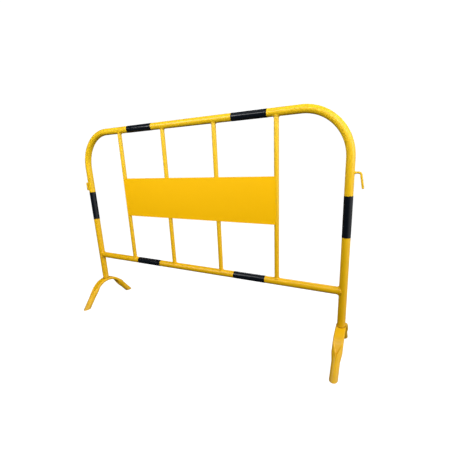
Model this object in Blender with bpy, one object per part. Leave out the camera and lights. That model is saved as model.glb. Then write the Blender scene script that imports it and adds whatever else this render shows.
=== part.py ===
"""Steel crowd-control barrier, one metre high.

A bent tube hoop with a bottom rail, four infill bars, a plain sign panel, two arched feet, and a hook and
socket that link it to its neighbours. +X runs along the barrier to the hook end, -Y is the side that the
sign panel faces, and the floor is z = 0. All pieces are welded or glued together, so nothing moves.
"""
import math

import bmesh
import bpy
from mathutils import Vector

# Driving dimensions, in metres
HEIGHT = 1.000            # floor to the top of the hoop
HOOP_WIDTH = 1.400        # between the centrelines of the two uprights
CORNER_RADIUS = 0.180     # centreline of the hoop's two bends
TUBE_RADIUS = 0.016       # hoop, bottom rail and feet
TUBE_WALL = 0.0015
RAIL_HEIGHT = 0.294       # centreline of the bottom rail
BAR_COUNT = 4
BAR_SPACING = 0.282       # between the centrelines of neighbouring bars
BAR_RADIUS = 0.010
BAR_WALL = 0.0012
GAP = 0.0003              # kept between pieces that touch

PANEL_HEIGHT = 0.197
PANEL_MIDDLE = 0.646      # height of the panel's centre
PANEL_THICKNESS = 0.0012
PANEL_CORNER = 0.004

BAND_LENGTH = 0.156
BAND_FILM = 0.0003
BAND_PLACES = {           # name: (x from the hoop's centre, height, lies along X)
    "top_band_left": (-0.278, HEIGHT - TUBE_RADIUS, True),
    "top_band_right": (0.309, HEIGHT - TUBE_RADIUS, True),
    "bottom_band_left": (-0.311, RAIL_HEIGHT, True),
    "bottom_band_right": (0.291, RAIL_HEIGHT, True),
    "left_upright_band": (-HOOP_WIDTH / 2, 0.592, False),
    "right_upright_band": (HOOP_WIDTH / 2, 0.592, False),
}

FOOT_HALF_SPREAD = 0.153  # from the upright's centreline to the middle of a foot's tip, along Y
LEG_ANGLE = math.radians(52)  # of a leg from the floor
ARCH_RADIUS = 0.095       # centreline bend of a foot
CROWN_HEIGHT = 0.134      # centreline of a foot under the upright
CROWN_HALF_HEIGHT = 0.008  # of the foot's tube where it is crushed flat
CRUSH_LENGTH = 0.100      # along the tube from the crown, all crushed flat
ROUND_LENGTH = 0.150      # along the tube from the crown to where it is round again

HOOK_HEIGHT = 0.753       # centreline of the hook's level arm
HOOK_RADIUS = 0.004
HOOK_REACH = 0.037        # from the upright's centreline to the corner of the hook
HOOK_DROP = 0.058         # length of the leg below that corner
HOOK_BEND = 0.010         # centreline radius
HOOK_TILT = math.radians(10)  # of the leg, away from the upright
HOOK_CHAMFER = 0.001

SOCKET_RADIUS = 0.010
SOCKET_WALL = 0.002
SOCKET_BOTTOM = 0.680
SOCKET_TOP = 0.724

# Facets
TUBE_SIDES = 24
BAR_SIDES = 20
ROD_SIDES = 14
BEND_STEPS = 12
ARCH_STEPS = 8
SHARP_ANGLE = math.radians(40)  # edges that turn more than this are drawn sharp

# Worked out from the above
TOP_HEIGHT = HEIGHT - TUBE_RADIUS
ARCH_FLAT = FOOT_HALF_SPREAD - CROWN_HEIGHT / math.tan(LEG_ANGLE) - ARCH_RADIUS * math.tan(LEG_ANGLE / 2)
ARCH_END = ARCH_FLAT + ARCH_RADIUS * LEG_ANGLE
SOCKET_OFFSET = TUBE_RADIUS + GAP + SOCKET_RADIUS
HOOK_EDGE = HOOK_REACH + (HOOK_DROP - HOOK_CHAMFER) * math.sin(HOOK_TILT) + HOOK_RADIUS * math.cos(HOOK_TILT)
CENTRE_X = (SOCKET_OFFSET + SOCKET_RADIUS - HOOK_EDGE) / 2  # puts the middle of the whole object at x = 0

YELLOW = ("yellow_paint", (0.91, 0.47, 0.012), 0.28, 0.0)
BLACK = ("black_film", (0.012, 0.014, 0.018), 0.30, 0.0)

X = Vector((1, 0, 0))
Y = Vector((0, 1, 0))
Z = Vector((0, 0, 1))


def clear_scene():
    for item in list(bpy.data.objects):
        bpy.data.objects.remove(item, do_unlink=True)


def material(name, colour, roughness, metallic):
    made = bpy.data.materials.get(name) or bpy.data.materials.new(name)
    made.use_nodes = True
    shader = made.node_tree.nodes["Principled BSDF"]
    shader.inputs["Base Color"].default_value = (*colour, 1.0)
    shader.inputs["Roughness"].default_value = roughness
    shader.inputs["Metallic"].default_value = metallic
    return made


def circle(radius, sides):
    """Points (across, up) of a round section, with flats on its four quarters."""
    angles = [2 * math.pi * (step + 0.5) / sides for step in range(sides)]
    return [(radius * math.cos(a), radius * math.sin(a)) for a in angles]


def crushed(radius, half_height, wall=0.0):
    """A round section pressed to a lower one with the same girth: half circles joined by flats."""
    half_flat = math.pi * (radius - half_height) / 2
    around = circle(half_height - wall, TUBE_SIDES)
    return [(a + math.copysign(half_flat, a), b) for a, b in around]


def ring(centre, across, up, section):
    return [centre + across * a + up * b for a, b in section]


def saddle(sideways, radius):
    """How far a round tube's surface is from its axis, at a distance sideways from the axis."""
    return math.sqrt(radius ** 2 - sideways ** 2)


def loft(name, outer, inner=None):
    """A closed mesh through a row of rings: solid, or a hollow tube where there are inner rings."""
    work = bmesh.new()
    sides = len(outer[0])

    def skin(rings):
        rows = [[work.verts.new(point) for point in points] for points in rings]
        for row, following in zip(rows, rows[1:]):
            for k in range(sides):
                after = (k + 1) % sides
                work.faces.new((row[k], row[after], following[after], following[k]))
        return rows[0], rows[-1]

    outer_ends = skin(outer)
    if inner:
        for outside, inside in zip(outer_ends, skin(inner)):
            for k in range(sides):
                after = (k + 1) % sides
                work.faces.new((outside[k], outside[after], inside[after], inside[k]))
    else:
        for end in outer_ends:
            work.faces.new(end)
    bmesh.ops.recalc_face_normals(work, faces=work.faces)
    mesh = bpy.data.meshes.new(name)
    work.to_mesh(mesh)
    work.free()
    mesh.shade_smooth()
    mesh.set_sharp_from_angle(angle=SHARP_ANGLE)
    return mesh


def place(name, mesh, finish, parent, location=(0, 0, 0), rotation=(0, 0, 0)):
    piece = bpy.data.objects.new(name, mesh)
    bpy.context.scene.collection.objects.link(piece)
    piece.parent = parent
    piece.location = location
    piece.rotation_euler = rotation
    if not mesh.materials:
        mesh.materials.append(material(*finish))
    return piece


def crown_top(across, along):
    """Height of a foot's upper surface near its crown, at a distance across and along the foot."""
    half_flat = math.pi * (TUBE_RADIUS - CROWN_HALF_HEIGHT) / 2
    beyond_flat = max(abs(across) - half_flat, 0.0)
    thickness = saddle(beyond_flat, CROWN_HALF_HEIGHT)
    beyond_crown = max(abs(along) - ARCH_FLAT, 0.0)
    return CROWN_HEIGHT - ARCH_RADIUS + saddle(beyond_crown, ARCH_RADIUS + thickness)


def hoop_rings(radius):
    """Rings along the hoop, from the foot of the left upright over the top to the right one."""
    section = circle(radius, TUBE_SIDES)
    bend_height = TOP_HEIGHT - CORNER_RADIUS

    def upright_end(x, outward):
        points = ring(X * x, outward, Y, section)
        return [Vector((p.x, p.y, crown_top(p.x - x, p.y) + GAP)) for p in points]

    rings = [upright_end(-HOOP_WIDTH / 2, -X)]
    for side, first_angle in ((-1, math.pi), (1, math.pi / 2)):
        middle = Vector((side * (HOOP_WIDTH / 2 - CORNER_RADIUS), 0, bend_height))
        for step in range(BEND_STEPS + 1):
            angle = first_angle - step * math.pi / 2 / BEND_STEPS
            outward = Vector((math.cos(angle), 0, math.sin(angle)))
            rings.append(ring(middle + outward * CORNER_RADIUS, outward, Y, section))
    rings.append(upright_end(HOOP_WIDTH / 2, X))
    return rings


def rail_rings(radius):
    """The bottom rail's two ends, cut to saddles that fit the uprights."""
    def end(side):
        points = ring(Z * RAIL_HEIGHT, Y, Z, circle(radius, TUBE_SIDES))
        reach = [HOOP_WIDTH / 2 - saddle(p.y, TUBE_RADIUS + GAP) for p in points]
        return [Vector((side * x, p.y, p.z)) for x, p in zip(reach, points)]
    return [end(-1), end(1)]


def bar_rings(radius):
    """An infill bar's two ends, cut to saddles that fit the bottom rail and the top of the hoop."""
    low = []
    high = []
    for point in ring(Vector(), X, Y, circle(radius, BAR_SIDES)):
        reach = saddle(point.y, TUBE_RADIUS + GAP)
        low.append(point + Z * (RAIL_HEIGHT + reach))
        high.append(point + Z * (TOP_HEIGHT - reach))
    return [low, high]


def foot_rings(wall):
    """Rings along a foot, tip to tip: a tube bent to an arch, crushed flat at the crown, cut level at the floor."""
    def half_height(length):
        share = (length - CRUSH_LENGTH) / (ROUND_LENGTH - CRUSH_LENGTH)
        return CROWN_HALF_HEIGHT + (TUBE_RADIUS - CROWN_HALF_HEIGHT) * min(max(share, 0.0), 1.0)

    def half_arch(side):
        rings = []
        for step in range(ARCH_STEPS + 1):
            angle = LEG_ANGLE * step / ARCH_STEPS
            normal = Vector((0, side * math.sin(angle), math.cos(angle)))
            middle = Vector((0, side * ARCH_FLAT, CROWN_HEIGHT - ARCH_RADIUS)) + normal * ARCH_RADIUS
            section = crushed(TUBE_RADIUS, half_height(ARCH_FLAT + ARCH_RADIUS * angle), wall)
            rings.append(ring(middle, X, normal, section))
        down_leg = Vector((0, side * math.cos(LEG_ANGLE), -math.sin(LEG_ANGLE)))
        for length in ((ARCH_END + ROUND_LENGTH) / 2, ROUND_LENGTH):
            section = crushed(TUBE_RADIUS, half_height(length), wall)
            rings.append(ring(middle + down_leg * (length - ARCH_END), X, normal, section))
        rings.append([p + down_leg * (p.z / math.sin(LEG_ANGLE)) for p in rings[-1]])
        return rings

    return half_arch(-1)[::-1] + half_arch(1)


def hook_rings():
    """Rings along the hook, from its saddle on the upright, round the bend and down to a chamfered end."""
    section = circle(HOOK_RADIUS, ROD_SIDES)
    turn = math.pi / 2 - HOOK_TILT
    bend_start = HOOK_REACH - HOOK_BEND * math.tan(turn / 2)
    root = ring(Z * HOOK_HEIGHT, Y, Z, section)
    rings = [[p + X * saddle(p.y, TUBE_RADIUS + GAP) for p in root]]
    steps = 6
    for step in range(steps + 1):
        angle = turn * step / steps
        normal = Vector((math.sin(angle), 0, math.cos(angle)))
        middle = Vector((bend_start, 0, HOOK_HEIGHT - HOOK_BEND)) + normal * HOOK_BEND
        rings.append(ring(middle, Y, normal, section))
    corner = Vector((HOOK_REACH, 0, HOOK_HEIGHT))
    down = Vector((math.sin(HOOK_TILT), 0, -math.cos(HOOK_TILT)))
    rings.append(ring(corner + down * (HOOK_DROP - HOOK_CHAMFER), Y, normal, section))
    rings.append(ring(corner + down * HOOK_DROP, Y, normal, circle(HOOK_RADIUS - HOOK_CHAMFER, ROD_SIDES)))
    return rings


def panel_rings():
    """The sign panel's outline with rounded corners, on its back and on its front face."""
    half_width = bar_positions()[-1]
    half_height = PANEL_HEIGHT / 2
    corner_steps = 4
    outline = []
    for quarter, (side, level) in enumerate(((1, 1), (-1, 1), (-1, -1), (1, -1))):
        middle = (side * (half_width - PANEL_CORNER), level * (half_height - PANEL_CORNER))
        for step in range(corner_steps + 1):
            angle = (quarter + step / corner_steps) * math.pi / 2
            outline.append((middle[0] + PANEL_CORNER * math.cos(angle), middle[1] + PANEL_CORNER * math.sin(angle)))
    back = -Y * (BAR_RADIUS + GAP)
    return [ring(back + offset, X, Z, outline) for offset in (Vector(), -Y * PANEL_THICKNESS)]


def sleeve_rings(radius, length, sides):
    return [ring(Z * end * length / 2, X, Y, circle(radius, sides)) for end in (-1, 1)]


def bar_positions():
    """X of each infill bar, in a row about the hoop's middle."""
    return [BAR_SPACING * (number - (BAR_COUNT - 1) / 2) for number in range(BAR_COUNT)]


def build():
    clear_scene()
    barrier = bpy.data.objects.new("barrier", None)
    bpy.context.scene.collection.objects.link(barrier)
    barrier.location.x = CENTRE_X
    left = -HOOP_WIDTH / 2
    right = HOOP_WIDTH / 2

    hoop = loft("hoop", hoop_rings(TUBE_RADIUS), hoop_rings(TUBE_RADIUS - TUBE_WALL))
    place("frame_hoop", hoop, YELLOW, barrier)
    rail = loft("rail", rail_rings(TUBE_RADIUS), rail_rings(TUBE_RADIUS - TUBE_WALL))
    place("bottom_rail", rail, YELLOW, barrier)

    bar = loft("bar", bar_rings(BAR_RADIUS), bar_rings(BAR_RADIUS - BAR_WALL))
    for number, x in enumerate(bar_positions(), start=1):
        place(f"infill_bar_{number}", bar, YELLOW, barrier, (x, 0, 0))

    place("sign_panel", loft("panel", panel_rings()), YELLOW, barrier, (0, 0, PANEL_MIDDLE))

    foot = loft("foot", foot_rings(0.0), foot_rings(TUBE_WALL))
    place("left_foot", foot, YELLOW, barrier, (left, 0, 0))
    place("right_foot", foot, YELLOW, barrier, (right, 0, 0))

    place("hook", loft("hook", hook_rings()), YELLOW, barrier, (right, 0, 0))
    socket_length = SOCKET_TOP - SOCKET_BOTTOM
    socket = loft("socket", sleeve_rings(SOCKET_RADIUS, socket_length, BAR_SIDES),
                  sleeve_rings(SOCKET_RADIUS - SOCKET_WALL, socket_length, BAR_SIDES))
    place("hook_socket", socket, YELLOW, barrier, (left - SOCKET_OFFSET, 0, SOCKET_BOTTOM + socket_length / 2))

    film_inside = TUBE_RADIUS + GAP
    band = loft("band", sleeve_rings(film_inside + BAND_FILM, BAND_LENGTH, TUBE_SIDES),
                sleeve_rings(film_inside, BAND_LENGTH, TUBE_SIDES))
    for name, (x, height, lies_level) in BAND_PLACES.items():
        turned = (0, math.pi / 2, 0) if lies_level else (0, 0, 0)
        place(name, band, BLACK, barrier, (x, 0, height), turned)


build()
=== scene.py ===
"""Looks for the yellow tubular steel crowd-control barrier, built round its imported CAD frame."""
import math
import random

import bmesh
import bpy
from mathutils import Matrix, Vector, noise


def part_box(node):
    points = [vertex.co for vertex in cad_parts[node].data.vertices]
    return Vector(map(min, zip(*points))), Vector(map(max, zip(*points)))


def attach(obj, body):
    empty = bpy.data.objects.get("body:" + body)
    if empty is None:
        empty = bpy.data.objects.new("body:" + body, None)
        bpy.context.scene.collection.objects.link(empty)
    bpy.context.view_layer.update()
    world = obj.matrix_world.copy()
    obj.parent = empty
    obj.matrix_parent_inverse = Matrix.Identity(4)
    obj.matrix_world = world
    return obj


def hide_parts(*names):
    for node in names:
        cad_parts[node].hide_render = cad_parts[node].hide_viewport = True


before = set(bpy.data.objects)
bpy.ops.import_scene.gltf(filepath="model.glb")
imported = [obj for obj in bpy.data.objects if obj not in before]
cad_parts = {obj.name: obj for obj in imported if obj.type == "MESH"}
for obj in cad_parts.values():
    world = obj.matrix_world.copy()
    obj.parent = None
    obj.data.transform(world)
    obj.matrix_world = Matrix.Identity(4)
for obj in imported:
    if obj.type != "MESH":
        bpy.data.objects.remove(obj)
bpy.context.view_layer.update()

X = Vector((1, 0, 0))
Y = Vector((0, 1, 0))
Z = Vector((0, 0, 1))
ROOT = "root"

# Sizes that part.py drives, in metres
TUBE_RADIUS = 0.016
TUBE_WALL = 0.0015
CORNER_RADIUS = 0.180
BAR_COUNT = 4
BAR_RADIUS = 0.010
BAR_WALL = 0.0012
PANEL_CORNER = 0.004
LEG_ANGLE = math.radians(52)
ARCH_RADIUS = 0.095
CROWN_HEIGHT = 0.134
CROWN_HALF_HEIGHT = 0.008
FOOT_HALF_SPREAD = 0.153
HOOK_RADIUS = 0.004
HOOK_REACH = 0.037
HOOK_DROP = 0.058
HOOK_BEND = 0.010
HOOK_TILT = math.radians(10)
SOCKET_RADIUS = 0.010
SOCKET_WALL = 0.002
GAP = 0.0003  # kept between pieces that touch

# The press's mark on a foot. Each pair is a stretch of the tube, as lengths from the crown.
FLAT_HALF_WIDTH = 0.0156
FLAT_END = 0.076  # where the flat starts to narrow to a V
V_POINT = 0.120
STEP_WIDTH = 0.0052  # from the flat up to the round of the tube
FLOOR_RISE = 0.0032
FLOOR_RISES = (0.078, 0.128)
HEIGHT_OPENS = (0.084, 0.126)
WIDTH_OPENS = (0.110, 0.152)
RIM_HEIGHT = 0.0024
RIM_HALF_WIDTH = 0.0028
RIM_STARTS = (0.074, 0.088)
RIM_ENDS = (0.122, 0.150)

# Weld beads: radius of each kind, and the spacing of a bead's rings and ripples
BAR_BEAD = 0.0021
RAIL_BEAD = 0.0026
CROWN_BEAD = 0.0028
HOOK_BEAD = 0.0017
SOCKET_BEAD = 0.0026
END_STITCH = 0.0013
BAR_STITCH = 0.0015
STITCH_LENGTH = 0.016
BEAD_SIDES = 14
BEAD_STEP = 0.0005
RIPPLE_PITCH = 0.0028

# The camera: place, turn, how far it looks down, roll, lens and shift
CAMERA_PLACE = (0.808, -1.098, 0.786)
CAMERA_TURN = math.radians(26.49)
CAMERA_DOWN = math.radians(13.97)
CAMERA_ROLL = math.radians(-1.82)
CAMERA_LENS = 22.24
CAMERA_SHIFT = (-0.0411, 0.0174)

# The sky: where it is brightest, how narrow that is, and its two levels
SKY_DIRECTION = Vector((1, -0.05, 0.28))
SKY_FOCUS = 3
SKY_BRIGHT = 1.65
SKY_EVEN = 0.03

# The stage, in metres
FLOOR_RADIUS = 30
FLOOR_DROP = 0.0005
BACKDROP_RADIUS = 29

# Facets of the round pieces
SIDES = 64
ROD_SIDES = 32


def middle(node_name):
    low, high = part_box(node_name)
    return (low + high) / 2


# Places, read from the frame
LEFT = middle("left_foot").x
RIGHT = middle("right_foot").x
TOP_HEIGHT = middle("top_band_left").z
RAIL_HEIGHT = middle("bottom_rail").z
BARS = [middle(f"infill_bar_{number}").x for number in range(1, BAR_COUNT + 1)]
HOOK_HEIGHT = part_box("hook")[1].z - HOOK_RADIUS

# Worked out from the sizes
ARCH_FLAT = FOOT_HALF_SPREAD - CROWN_HEIGHT / math.tan(LEG_ANGLE) - ARCH_RADIUS * math.tan(LEG_ANGLE / 2)
ARCH_END = ARCH_FLAT + ARCH_RADIUS * LEG_ANGLE
PRESSED_HALF_WIDTH = CROWN_HALF_HEIGHT + math.pi * (TUBE_RADIUS - CROWN_HALF_HEIGHT) / 2


# ---------------------------------------------------------------- shapes

def ramp(value, start, end):
    """0 up to start, 1 from end on, and a straight rise between them."""
    return min(max((value - start) / (end - start), 0.0), 1.0)


def smooth_step(value, start, end):
    share = ramp(value, start, end)
    return share * share * (3 - 2 * share)


def saddle(sideways, radius):
    """How far a round tube's surface is from its axis, at a distance sideways from the axis."""
    return math.sqrt(max(radius ** 2 - sideways ** 2, 0.0))


def circle(radius, sides):
    angles = [2 * math.pi * (step + 0.5) / sides for step in range(sides)]
    return [(radius * math.cos(a), radius * math.sin(a)) for a in angles]


def ring(centre, across, up, section):
    return [centre + across * a + up * b for a, b in section]


def swept(path, radius_at, sides, looped):
    """Rings of a bead that follows a path of points, with no twist."""
    count = len(path)
    rings = []
    across = None
    for i, point in enumerate(path):
        before = path[(i - 1) % count] if looped or i else point
        after = path[(i + 1) % count] if looped or i < count - 1 else point
        along = (after - before).normalized()
        if across is None:
            across = along.orthogonal().normalized()
        across = (across - along * across.dot(along)).normalized()
        up = along.cross(across)
        rings.append(ring(point, across, up, circle(radius_at(i), sides)))
    return rings


# ---------------------------------------------------------------- meshes

def add_skin(work, rings, looped=False):
    """Joins a row of rings with quads and returns its first and last rows of vertices."""
    rows = [[work.verts.new(point) for point in points] for points in rings]
    sides = len(rows[0])
    following = rows[1:] + rows[:1] if looped else rows[1:]
    for row, after_row in zip(rows, following):
        for k in range(sides):
            after = (k + 1) % sides
            work.faces.new((row[k], row[after], after_row[after], after_row[k]))
    return rows[0], rows[-1]


def finish_piece(name, work, finish, replaced=None, crease=40):
    """Makes an object of the mesh. Edges that turn more than the crease, in degrees, are sharp."""
    bmesh.ops.recalc_face_normals(work, faces=work.faces)
    mesh = bpy.data.meshes.new(name)
    work.to_mesh(mesh)
    work.free()
    mesh.shade_smooth()
    mesh.set_sharp_from_angle(angle=math.radians(crease))
    mesh.materials.append(finish)
    piece = bpy.data.objects.new(name, mesh)
    bpy.context.scene.collection.objects.link(piece)
    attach(piece, ROOT)
    if replaced:
        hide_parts(replaced)


def tube(name, outer, inner, replaced):
    """A painted hollow tube from rows of outer and inner rings, with flat rims."""
    work = bmesh.new()
    outer_ends = add_skin(work, outer)
    inner_ends = add_skin(work, inner)
    for outside, inside in zip(outer_ends, inner_ends):
        sides = len(outside)
        for k in range(sides):
            after = (k + 1) % sides
            work.faces.new((outside[k], outside[after], inside[after], inside[k]))
    finish_piece(name, work, YELLOW, replaced)


def rod(name, rings, replaced):
    """A painted solid rod from a row of rings, with flat ends."""
    work = bmesh.new()
    for end in add_skin(work, rings):
        work.faces.new(end)
    finish_piece(name, work, YELLOW, replaced)


# ---------------------------------------------------------------- materials

def node(tree, kind, **values):
    made = tree.nodes.new(kind)
    for name, value in values.items():
        setattr(made, name, value)
    return made


def grain(tree, place, scale, detail=2.0, distortion=0.0):
    """A noise texture over the object's own coordinates."""
    made = node(tree, "ShaderNodeTexNoise")
    made.inputs["Scale"].default_value = scale
    made.inputs["Detail"].default_value = detail
    made.inputs["Distortion"].default_value = distortion
    tree.links.new(place.outputs["Object"], made.inputs["Vector"])
    return made.outputs["Fac"]


def spread(tree, value, start, end, first, last):
    """Turns values from start to end into values from first to last."""
    made = node(tree, "ShaderNodeMapRange")
    made.inputs["From Min"].default_value = start
    made.inputs["From Max"].default_value = end
    made.inputs["To Min"].default_value = first
    made.inputs["To Max"].default_value = last
    tree.links.new(value, made.inputs["Value"])
    return made.outputs["Result"]


def blend_colours(tree, share):
    made = node(tree, "ShaderNodeMix", data_type="RGBA")
    tree.links.new(share, made.inputs["Factor"])
    return made


def raise_bumps(tree, shader, height, strength, depth):
    bump = node(tree, "ShaderNodeBump")
    bump.inputs["Strength"].default_value = strength
    bump.inputs["Distance"].default_value = depth
    tree.links.new(height, bump.inputs["Height"])
    tree.links.new(bump.outputs["Normal"], shader.inputs["Normal"])


def new_material(name, specular):
    made = bpy.data.materials.new(name)
    made.use_nodes = True
    shader = made.node_tree.nodes["Principled BSDF"]
    shader.inputs["Specular IOR Level"].default_value = specular
    return made, made.node_tree, shader


def paint(name, high, low, roughness, specular):
    """Powder coat, with painted light: paler and yellower high up and warmer low down, as if more light
    fell from above; with fine orange peel and dust near the floor.
    """
    painted_light_start = 0.30  # the painted light's change of colour runs from this height
    painted_light_end = 1.00
    drift_reach = 0.15  # how far the drift moves it up or down
    dust_top = 0.05
    dust_share = 0.40
    made, tree, shader = new_material(name, specular)
    link = tree.links.new
    place = node(tree, "ShaderNodeTexCoord")
    parts = node(tree, "ShaderNodeSeparateXYZ")
    link(place.outputs["Object"], parts.inputs["Vector"])

    # Painted light: the colour goes from the low to the high colour with height, paler and yellower up
    # where the light falls stronger; the drift makes the change wander.
    drift = grain(tree, place, scale=9.0, detail=4.0)
    height = node(tree, "ShaderNodeMath", operation="MULTIPLY_ADD")
    height.inputs[1].default_value = drift_reach
    link(drift, height.inputs[0])
    link(parts.outputs["Z"], height.inputs[2])
    tone = blend_colours(tree, spread(tree, height.outputs["Value"], painted_light_start, painted_light_end, 0.0, 1.0))
    tone.inputs["A"].default_value = (*low, 1)
    tone.inputs["B"].default_value = (*high, 1)

    grit = grain(tree, place, scale=160.0, detail=6.0)
    dusty = node(tree, "ShaderNodeMath", operation="MULTIPLY")
    link(spread(tree, parts.outputs["Z"], 0.0, dust_top, dust_share, 0.0), dusty.inputs[0])
    link(grit, dusty.inputs[1])
    dust = blend_colours(tree, dusty.outputs["Value"])
    dust.inputs["B"].default_value = (0.33, 0.25, 0.11, 1)
    link(tone.outputs["Result"], dust.inputs["A"])
    link(dust.outputs["Result"], shader.inputs["Base Color"])

    link(spread(tree, grit, 0.3, 0.7, roughness - 0.05, roughness + 0.06), shader.inputs["Roughness"])
    raise_bumps(tree, shader, grain(tree, place, scale=420.0), strength=0.10, depth=0.00004)
    return made


def film(name, colour, roughness):
    """Self-adhesive film: glossy, with faint scuffs that are rougher and paler than the rest."""
    made, tree, shader = new_material(name, specular=0.28)
    link = tree.links.new
    place = node(tree, "ShaderNodeTexCoord")
    scuff = grain(tree, place, scale=70.0, detail=8.0, distortion=1.5)
    link(spread(tree, scuff, 0.45, 0.75, roughness, roughness + 0.22), shader.inputs["Roughness"])
    tone = blend_colours(tree, scuff)
    tone.inputs["A"].default_value = (*colour, 1)
    tone.inputs["B"].default_value = (*(2 * channel for channel in colour), 1)
    link(tone.outputs["Result"], shader.inputs["Base Color"])
    raise_bumps(tree, shader, grain(tree, place, scale=60.0), strength=0.05, depth=0.0006)
    return made


def glow(name, strength, grey):
    """A matt grey that glows white."""
    made, _, shader = new_material(name, specular=0.0)
    shader.inputs["Base Color"].default_value = (grey, grey, grey, 1)
    shader.inputs["Roughness"].default_value = 1.0
    shader.inputs["Emission Color"].default_value = (1, 1, 1, 1)
    shader.inputs["Emission Strength"].default_value = strength
    return made


# Each paint has its colour high up, its colour low down, its roughness and its specular level. The change
# from the low to the high colour is painted light: paler and yellower up where the light falls stronger.
YELLOW = paint("yellow_powder_coat", (0.80, 0.500, 0.009), (0.80, 0.440, 0.002), 0.32, 0.35)
PANEL_YELLOW = paint("panel_powder_coat", (0.96, 0.525, 0.0015), (0.96, 0.510, 0.0015), 0.45, 0.10)
# Crown weld coat: darker, partly the weld's own dark joint and partly painted shade of the shadow where the
# upright meets the foot.
DARK_WELD_AND_PAINTED_SHADE = paint("weld_coat_and_painted_shade", (0.50, 0.280, 0.004), (0.48, 0.245, 0.0015), 0.40, 0.20)
BLACK = film("black_film", (0.0026, 0.0038, 0.0060), 0.12)


# ---------------------------------------------------------------- feet

def foot_half_width(length):
    return PRESSED_HALF_WIDTH + (TUBE_RADIUS - PRESSED_HALF_WIDTH) * smooth_step(length, *WIDTH_OPENS)


def foot_surface(across, length):
    """Height of a foot's top face over its centre line, across from that line and a length from the crown.

    The press leaves a flat that ends in a V down each leg, with a step up to a raised rim along its arms.
    """
    # The pressed round is as high as lets its sides meet the edges of the flat
    pressed_height = CROWN_HALF_HEIGHT / math.sqrt(1 - (FLAT_HALF_WIDTH / PRESSED_HALF_WIDTH) ** 2)
    round_height = pressed_height + (TUBE_RADIUS - pressed_height) * smooth_step(length, *HEIGHT_OPENS)
    rounded = round_height * saddle(across / foot_half_width(length), 1.0)
    floor = CROWN_HALF_HEIGHT + FLOOR_RISE * ramp(length, *FLOOR_RISES)
    arm = FLAT_HALF_WIDTH * min((V_POINT - length) / (V_POINT - FLAT_END), 1.0)
    step_up = smooth_step(abs(across), arm, arm + STEP_WIDTH)
    rim = RIM_HEIGHT * smooth_step(length, *RIM_STARTS) * (1 - smooth_step(length, *RIM_ENDS))
    off_crest = (abs(across) - arm - STEP_WIDTH) / RIM_HALF_WIDTH
    return floor + (rounded - floor) * step_up + rim * math.exp(-off_crest ** 2)


def crown_top(across, along):
    """Height of a foot's upper surface near its crown, at a distance across and along the foot."""
    reach = ARCH_RADIUS + foot_surface(across, abs(along))
    return CROWN_HEIGHT - ARCH_RADIUS + saddle(max(abs(along) - ARCH_FLAT, 0.0), reach)


def foot_section(length, wall):
    """A foot's section at a length from its crown: pressed flat there, opening to a round tube."""
    half_width = foot_half_width(length)
    half_height = foot_surface(0.0, length)
    columns = 28
    quarter = []
    for step in range(columns):
        a = half_width * math.sin(math.pi / 2 * (step + 0.5) / columns)
        b = foot_surface(a, length)
        quarter.append((a * (1 - wall / half_width), b * (1 - wall / half_height)))
    right = quarter + [(a, -b) for a, b in reversed(quarter)]
    return right + [(-a, -b) for a, b in right]


def foot_rings(x, wall, arch_steps, leg_steps):
    """Rings along a foot, tip to tip, cut level at the floor."""
    leg_length = 0.080  # the part of the leg whose section still changes
    edge = 0.001  # height of the last ring over the floor

    def half_arch(side):
        rings = []
        for step in range(arch_steps + 1):
            angle = LEG_ANGLE * step / arch_steps
            normal = Vector((0, side * math.sin(angle), math.cos(angle)))
            centre = Vector((x, side * ARCH_FLAT, CROWN_HEIGHT - ARCH_RADIUS)) + normal * ARCH_RADIUS
            rings.append(ring(centre, X, normal, foot_section(ARCH_FLAT + ARCH_RADIUS * angle, wall)))
        down_leg = Vector((0, side * math.cos(LEG_ANGLE), -math.sin(LEG_ANGLE)))
        for step in range(1, leg_steps + 1):
            run = leg_length * step / leg_steps
            rings.append(ring(centre + down_leg * run, X, normal, foot_section(ARCH_END + run, wall)))
        straight = rings[-1]
        for height in (edge, 0.0):
            rings.append([p + down_leg * (p.z - height) / math.sin(LEG_ANGLE) for p in straight])
        return rings

    return half_arch(-1)[::-1] + half_arch(1)


def make_feet():
    for name, x in (("left", LEFT), ("right", RIGHT)):
        outer = foot_rings(x, 0.0, 36, 36)
        inner = foot_rings(x, TUBE_WALL, 12, 8)
        tube(f"{name}_arched_foot", outer, inner, f"{name}_foot")


# ---------------------------------------------------------------- tubes

def hoop_rings(radius, bend_steps):
    """Rings along the hoop, from the foot of the left upright over the top to the right one."""
    bend_height = TOP_HEIGHT - CORNER_RADIUS
    oval = 0.02  # how much a bend flattens the tube in the plane of the bend

    def upright_end(x, outward):
        points = ring(X * x, outward, Y, circle(radius, SIDES))
        return [Vector((p.x, p.y, crown_top(p.x - x, p.y) + GAP)) for p in points]

    rings = [upright_end(LEFT, -X)]
    for side, x, first_angle in ((-1, LEFT, math.pi), (1, RIGHT, math.pi / 2)):
        centre = Vector((x - side * CORNER_RADIUS, 0, bend_height))
        for step in range(bend_steps + 1):
            angle = first_angle - step * math.pi / 2 / bend_steps
            outward = Vector((math.cos(angle), 0, math.sin(angle)))
            squeeze = oval * math.sin(math.pi * step / bend_steps) ** 0.5
            section = [(a * (1 - squeeze), b * (1 + squeeze / 2)) for a, b in circle(radius, SIDES)]
            rings.append(ring(centre + outward * CORNER_RADIUS, outward, Y, section))
    rings.append(upright_end(RIGHT, X))
    return rings


def rail_rings(radius):
    """The lower rail's two ends, cut to saddles that fit the uprights."""
    def end(x, side):
        points = ring(Z * RAIL_HEIGHT, Y, Z, circle(radius, SIDES))
        return [Vector((x - side * saddle(p.y, TUBE_RADIUS + GAP), p.y, p.z)) for p in points]
    return [end(LEFT, -1), end(RIGHT, 1)]


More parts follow.
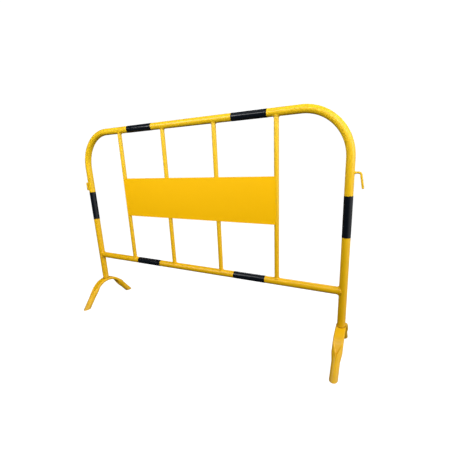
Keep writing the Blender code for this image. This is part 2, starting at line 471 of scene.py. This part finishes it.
def bar_rings(x, radius):
    """A bar's two ends, cut to saddles that fit the lower rail and the top of the hoop."""
    low = []
    high = []
    for point in ring(X * x, X, Y, circle(radius, SIDES)):
        reach = saddle(point.y, TUBE_RADIUS + GAP)
        low.append(point + Z * (RAIL_HEIGHT + reach))
        high.append(point + Z * (TOP_HEIGHT - reach))
    return [low, high]


def make_tubes():
    tube("hoop", hoop_rings(TUBE_RADIUS, 40), hoop_rings(TUBE_RADIUS - TUBE_WALL, 20), "frame_hoop")
    tube("lower_rail", rail_rings(TUBE_RADIUS), rail_rings(TUBE_RADIUS - TUBE_WALL), "bottom_rail")
    for number, x in enumerate(BARS, start=1):
        tube(f"bar_{number}", bar_rings(x, BAR_RADIUS), bar_rings(x, BAR_RADIUS - BAR_WALL),
             f"infill_bar_{number}")


# ---------------------------------------------------------------- panel

def make_panel():
    """The sheet, drawn in a little at each bar by its welds, so that it stands proud between them."""
    low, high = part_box("sign_panel")
    thickness = high.y - low.y
    columns = 168
    rows = 40
    bulge = 0.0007
    changes_x = 7  # of the bulge along the sheet, per metre
    changes_z = 9
    noise_layer = 0.3
    bay = BARS[1] - BARS[0]

    def corner_pull(x, z):
        """Moves a point of the grid's edge in to the rounded corner."""
        cx = min(max(x, low.x + PANEL_CORNER), high.x - PANEL_CORNER)
        cz = min(max(z, low.z + PANEL_CORNER), high.z - PANEL_CORNER)
        away = Vector((x - cx, 0, z - cz))
        if away.length > PANEL_CORNER:
            away *= PANEL_CORNER / away.length
        return cx + away.x, cz + away.z

    def proud(x, z):
        """How far the sheet stands out: nothing at a bar, and uneven between the bars."""
        uneven = 0.5 + noise.noise(Vector((x * changes_x, noise_layer, z * changes_z)))
        return bulge * abs(math.sin(math.pi * (x - BARS[0]) / bay)) * uneven

    def grid(y):
        points = []
        for j in range(rows + 1):
            for i in range(columns + 1):
                x = low.x + (high.x - low.x) * i / columns
                z = low.z + (high.z - low.z) * j / rows
                px, pz = corner_pull(x, z)
                points.append(Vector((px, y - proud(x, z), pz)))
        return points

    work = bmesh.new()
    front = [work.verts.new(p) for p in grid(low.y)]
    back = [work.verts.new(p) for p in grid(low.y + thickness)]

    def at(i, j):
        return j * (columns + 1) + i

    for j in range(rows):
        for i in range(columns):
            corners = (at(i, j), at(i + 1, j), at(i + 1, j + 1), at(i, j + 1))
            work.faces.new([front[c] for c in corners])
            work.faces.new([back[c] for c in reversed(corners)])
    edge = [at(i, 0) for i in range(columns)] + [at(columns, j) for j in range(rows)]
    edge += [at(i, rows) for i in range(columns, 0, -1)] + [at(0, j) for j in range(rows, 0, -1)]
    for here, there in zip(edge, edge[1:] + edge[:1]):
        work.faces.new((front[here], back[here], back[there], front[there]))
    finish_piece("panel", work, PANEL_YELLOW, "sign_panel")


# ---------------------------------------------------------------- hook and socket

def make_hook():
    """The hook's rod: a saddle on the upright, a level arm, a bend, and a leg with a domed end."""
    section = circle(HOOK_RADIUS, ROD_SIDES)
    turn = math.pi / 2 - HOOK_TILT
    bend_start = RIGHT + HOOK_REACH - HOOK_BEND * math.tan(turn / 2)
    root = ring(Z * HOOK_HEIGHT, Y, Z, section)
    rings = [[p + X * (RIGHT + saddle(p.y, TUBE_RADIUS + GAP)) for p in root]]
    bend_steps = 20
    for step in range(bend_steps + 1):
        angle = turn * step / bend_steps
        normal = Vector((math.sin(angle), 0, math.cos(angle)))
        centre = Vector((bend_start, 0, HOOK_HEIGHT - HOOK_BEND)) + normal * HOOK_BEND
        rings.append(ring(centre, Y, normal, section))
    corner = Vector((RIGHT + HOOK_REACH, 0, HOOK_HEIGHT))
    down = Vector((math.sin(HOOK_TILT), 0, -math.cos(HOOK_TILT)))
    dome = 0.0016
    dome_steps = 6
    for step in range(dome_steps):
        angle = math.pi / 2 * step / dome_steps
        depth = HOOK_DROP - dome + dome * math.sin(angle)
        radius = HOOK_RADIUS - dome + dome * math.cos(angle)
        rings.append(ring(corner + down * depth, Y, normal, circle(radius, ROD_SIDES)))
    rod("link_hook", rings, "hook")


def make_socket():
    """The short sleeve, with its four rims' edges broken."""
    low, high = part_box("hook_socket")
    centre = middle("hook_socket")
    lip = 0.0005

    def column(radius, outward):
        places = ((low.z, -lip), (low.z + lip, 0.0), (high.z - lip, 0.0), (high.z, -lip))
        return [ring(Vector((centre.x, centre.y, z)), X, Y, circle(radius + outward * change, SIDES))
                for z, change in places]

    tube("socket_sleeve", column(SOCKET_RADIUS, 1), column(SOCKET_RADIUS - SOCKET_WALL, -1), "hook_socket")


# ---------------------------------------------------------------- film bands

def make_band(name, seed):
    """A strip of film wrapped once round the tube, its far end lapped over its near end at the back."""
    low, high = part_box(name)
    level = high.x - low.x > high.z - low.z
    along, across, up = (X, Y, Z) if level else (Z, X, Y)
    back = 0.0 if level else math.pi / 2
    centre = middle(name)
    length = (high - low).dot(along)
    inside = TUBE_RADIUS + GAP / 2
    thickness = 0.00035
    full_turn = 2 * math.pi
    lap = math.radians(24)
    lap_height = 1.15 * thickness
    climb = 0.08  # angle in which the far end climbs on to the near end
    rng = random.Random(seed)
    skew = rng.uniform(-0.0006, 0.0006)
    steps = 120
    rows = 12

    def strip(extra):
        lines = []
        for step in range(steps + 1):
            share = step / steps
            wound = share * (full_turn + lap)
            lift = lap_height * ramp(wound, full_turn - climb, full_turn)
            out = across * math.cos(back + wound) + up * math.sin(back + wound)
            line = []
            for row in range(rows + 1):
                where = (row / rows - 0.5) * length + skew * (share - 0.5)
                line.append(centre + out * (inside + extra + lift) + along * where)
            lines.append(line)
        return lines

    work = bmesh.new()
    inner = [[work.verts.new(p) for p in line] for line in strip(0.0)]
    outer = [[work.verts.new(p) for p in line] for line in strip(thickness)]
    for step in range(steps):
        after = step + 1
        for row in range(rows):
            beside = row + 1
            work.faces.new((outer[step][row], outer[after][row], outer[after][beside], outer[step][beside]))
            work.faces.new((inner[step][beside], inner[after][beside], inner[after][row], inner[step][row]))
        for row in (0, rows):
            work.faces.new((inner[step][row], inner[after][row], outer[after][row], outer[step][row]))
    for step in (0, steps):
        for row in range(rows):
            beside = row + 1
            work.faces.new((inner[step][row], inner[step][beside], outer[step][beside], outer[step][row]))
    finish_piece(f"{name}_film", work, BLACK, name)


def make_bands():
    names = ("top_band_left", "top_band_right", "bottom_band_left", "bottom_band_right",
             "left_upright_band", "right_upright_band")
    for seed, name in enumerate(names):
        make_band(name, seed)


# ---------------------------------------------------------------- weld beads

def bead(name, path, size, seed, looped=True, coat=YELLOW):
    """A weld bead along a path: overlapping ripples, softened by the coat over them."""
    rng = random.Random(seed)
    step = (path[1] - path[0]).length
    offset = rng.uniform(0, 10)
    wander = 160  # how often the bead's size drifts, in changes per metre
    body = 0.93  # shares of the bead's size: between its ripples, for a ripple, and for the drift
    ripple_share = 0.10
    drift_share = 0.16
    blunt = 0.05  # how far an open bead's end is from a point

    def radius_at(i):
        ripple = abs(math.sin(math.pi * i * step / RIPPLE_PITCH))
        drift = noise.noise(Vector((offset, i * step * wander, 0)))
        taper = 1.0
        if not looped:
            run = min(i, len(path) - 1 - i) * step / size
            taper = math.sqrt(min(blunt + run, 1.0))
        return size * taper * (body + ripple_share * ripple + drift_share * drift)

    work = bmesh.new()
    ends = add_skin(work, swept(path, radius_at, BEAD_SIDES, looped), looped)
    if not looped:
        for end in ends:
            work.faces.new(end)
    finish_piece(name, work, coat, crease=80)


def round_path(radius, proud, point_at):
    """A bead's centre line round a piece of this radius, a little proud of its surface.

    point_at gives the place that belongs to two distances from the piece's axis.
    """
    count = max(int(2 * math.pi * radius / BEAD_STEP), 40)
    path = []
    for i in range(count):
        angle = 2 * math.pi * i / count
        path.append(point_at((radius + proud) * math.cos(angle), (radius + proud) * math.sin(angle)))
    return path


def bar_weld(x, height, side):
    """Round a bar's end, on the tube above it (side 1) or below it (side -1)."""
    proud = 0.0008

    def point_at(a, b):
        return Vector((x + a, b, height - side * saddle(b, TUBE_RADIUS + proud)))
    return round_path(BAR_RADIUS, proud, point_at)


def rail_weld(x, side):
    off_upright = 0.0018

    def point_at(a, b):
        return Vector((x - side * saddle(b, TUBE_RADIUS + off_upright), b, RAIL_HEIGHT + a))
    return round_path(TUBE_RADIUS, 0.0006, point_at)


def crown_weld(x):
    proud = 0.0008

    def point_at(a, b):
        return Vector((x + a, b, crown_top(a, b) + proud))
    return round_path(TUBE_RADIUS, proud, point_at)


def hook_weld():
    off_upright = 0.0006

    def point_at(a, b):
        return Vector((RIGHT + saddle(b, TUBE_RADIUS + off_upright), b, HOOK_HEIGHT + a))
    return round_path(HOOK_RADIUS, 0.0005, point_at)


def straight_path(start, end):
    count = max(int((end - start).length / BEAD_STEP), 8)
    return [start.lerp(end, i / count) for i in range(count + 1)]


def make_welds():
    seeds = iter(range(15))
    for number, x in enumerate(BARS, start=1):
        bead(f"weld_bar_{number}_top", bar_weld(x, TOP_HEIGHT, 1), BAR_BEAD, next(seeds))
        bead(f"weld_bar_{number}_bottom", bar_weld(x, RAIL_HEIGHT, -1), BAR_BEAD, next(seeds))
    for name, x, side in (("left", LEFT, -1), ("right", RIGHT, 1)):
        bead(f"weld_rail_{name}", rail_weld(x, side), RAIL_BEAD, next(seeds))
        # The crown weld's darker coat is partly the weld's own colour and partly painted shade of the
        # joint's shadow.
        bead(f"weld_crown_{name}", crown_weld(x), CROWN_BEAD, next(seeds), coat=DARK_WELD_AND_PAINTED_SHADE)
    bead("weld_hook", hook_weld(), HOOK_BEAD, next(seeds))

    low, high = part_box("hook_socket")
    margin = 0.003
    outward = TUBE_RADIUS * 1.02
    sideways = TUBE_RADIUS * 0.38
    for name, side in (("front", -1), ("back", 1)):
        place = Vector((LEFT - outward, side * sideways, 0))
        path = straight_path(place + Z * (low.z + margin), place + Z * (high.z - margin))
        bead(f"weld_socket_{name}", path, SOCKET_BEAD, next(seeds), looped=False)


def make_panel_welds():
    """Short stitches: on the front along the panel's two ends, and behind it at the two middle bars."""
    low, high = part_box("sign_panel")
    margin = 0.006
    heights = (low.z + margin, (low.z + high.z - STITCH_LENGTH) / 2, high.z - margin - STITCH_LENGTH)
    seeds = iter(range(60, 74))

    overlap = 0.0003  # of a stitch past the middle of its end bar
    end_y = -0.0108
    for name, x in (("left_end", BARS[0] - overlap), ("right_end", BARS[-1] + overlap)):
        for number, z in enumerate(heights, start=1):
            path = straight_path(Vector((x, end_y, z)), Vector((x, end_y, z + STITCH_LENGTH)))
            bead(f"stitch_{name}_{number}", path, END_STITCH, next(seeds), looped=False)

    beside_bar = 0.0048
    bar_y = -0.0090
    for bar, x in enumerate(BARS[1:-1], start=2):
        for side_name, side in (("left", -1), ("right", 1)):
            for number, z in enumerate(heights[::2], start=1):
                place = Vector((x + side * beside_bar, bar_y, z))
                path = straight_path(place, place + Z * STITCH_LENGTH)
                bead(f"stitch_bar_{bar}_{side_name}_{number}", path, BAR_STITCH, next(seeds), looped=False)


# ---------------------------------------------------------------- stage

def make_camera():
    data = bpy.data.cameras.new("camera")
    data.lens = CAMERA_LENS
    data.shift_x, data.shift_y = CAMERA_SHIFT
    camera = bpy.data.objects.new("camera", data)
    bpy.context.scene.collection.objects.link(camera)
    turn = Matrix.Rotation(CAMERA_TURN, 4, "Z")
    tilt = Matrix.Rotation(math.pi / 2 - CAMERA_DOWN, 4, "X")
    roll = Matrix.Rotation(CAMERA_ROLL, 4, "Z")
    camera.matrix_world = Matrix.Translation(CAMERA_PLACE) @ turn @ tilt @ roll
    bpy.context.scene.camera = camera


def make_stage():
    """A pale floor that glows a little, so that shadows on it stay faint, and a white backdrop."""
    disc = bmesh.new()
    bmesh.ops.create_circle(disc, cap_ends=True, radius=FLOOR_RADIUS, segments=96)
    dome = bmesh.new()
    bmesh.ops.create_uvsphere(dome, u_segments=64, v_segments=32, radius=BACKDROP_RADIUS)
    bmesh.ops.reverse_faces(dome, faces=dome.faces)

    pale = glow("pale_floor", strength=0.97, grey=0.20)
    white = glow("backdrop_white", strength=1.05, grey=0.0)
    for name, work, look, drop in (("floor", disc, pale, FLOOR_DROP), ("backdrop", dome, white, 0.0)):
        mesh = bpy.data.meshes.new(name)
        work.to_mesh(mesh)
        work.free()
        mesh.materials.append(look)
        item = bpy.data.objects.new(name, mesh)
        item.location.z = -drop
        bpy.context.scene.collection.objects.link(item)
        item.visible_diffuse = False
        item.visible_glossy = False
        item.visible_transmission = False
        item.visible_shadow = False


def make_sky():
    """A soft sky that is bright to the right, with a little even light from everywhere else."""
    world = bpy.data.worlds.new("studio")
    bpy.context.scene.world = world
    world.use_nodes = True
    tree = world.node_tree
    link = tree.links.new
    place = node(tree, "ShaderNodeTexCoord")
    toward = node(tree, "ShaderNodeVectorMath", operation="DOT_PRODUCT")
    toward.inputs[1].default_value = SKY_DIRECTION.normalized()
    link(place.outputs["Generated"], toward.inputs[0])
    ahead = node(tree, "ShaderNodeMath", operation="MAXIMUM")
    ahead.inputs[1].default_value = 0.0
    link(toward.outputs["Value"], ahead.inputs[0])
    focus = node(tree, "ShaderNodeMath", operation="POWER")
    focus.inputs[1].default_value = SKY_FOCUS
    link(ahead.outputs["Value"], focus.inputs[0])
    level = node(tree, "ShaderNodeMath", operation="MULTIPLY_ADD")
    level.inputs[1].default_value = SKY_BRIGHT
    level.inputs[2].default_value = SKY_EVEN
    link(focus.outputs["Value"], level.inputs[0])
    background = tree.nodes["Background"]
    background.inputs["Color"].default_value = (1, 1, 1, 1)
    link(level.outputs["Value"], background.inputs["Strength"])


def softbox(name, place, target, width, height, power):
    data = bpy.data.lights.new(name, "AREA")
    data.shape = "RECTANGLE"
    data.size = width
    data.size_y = height
    data.energy = power
    light = bpy.data.objects.new(name, data)
    bpy.context.scene.collection.objects.link(light)
    light.location = place
    light.rotation_euler = (Vector(target) - Vector(place)).to_track_quat("-Z", "Y").to_euler()
    light.visible_camera = False


def make_lights():
    softbox("front_strip", (0, -0.9, 1.35), (0, 0, 0.85), width=2.4, height=0.25, power=13)
    softbox("front_left", (-1.6, -2.2, 1.8), (0, 0, 0.7), width=1.2, height=1.0, power=22)
    softbox("right", (2.2, -0.5, 1.3), (0.6, 0, 0.7), width=0.9, height=0.9, power=10)
    softbox("over_right", (1.1, -0.5, 1.6), (0.6, 0, 0.7), width=0.7, height=0.7, power=3.8)
    softbox("overhead", (0.1, -0.15, 1.7), (0, 0, 0.6), width=2.4, height=0.5, power=1.8)
    softbox("back", (0, 2.4, 1.8), (0, 0, 0.7), width=2.4, height=1.0, power=32)


make_camera()
make_tubes()
make_feet()
make_panel()
make_hook()
make_socket()
make_bands()
make_welds()
make_panel_welds()
make_stage()
make_sky()
make_lights()
bpy.context.scene.view_settings.view_transform = "Standard"
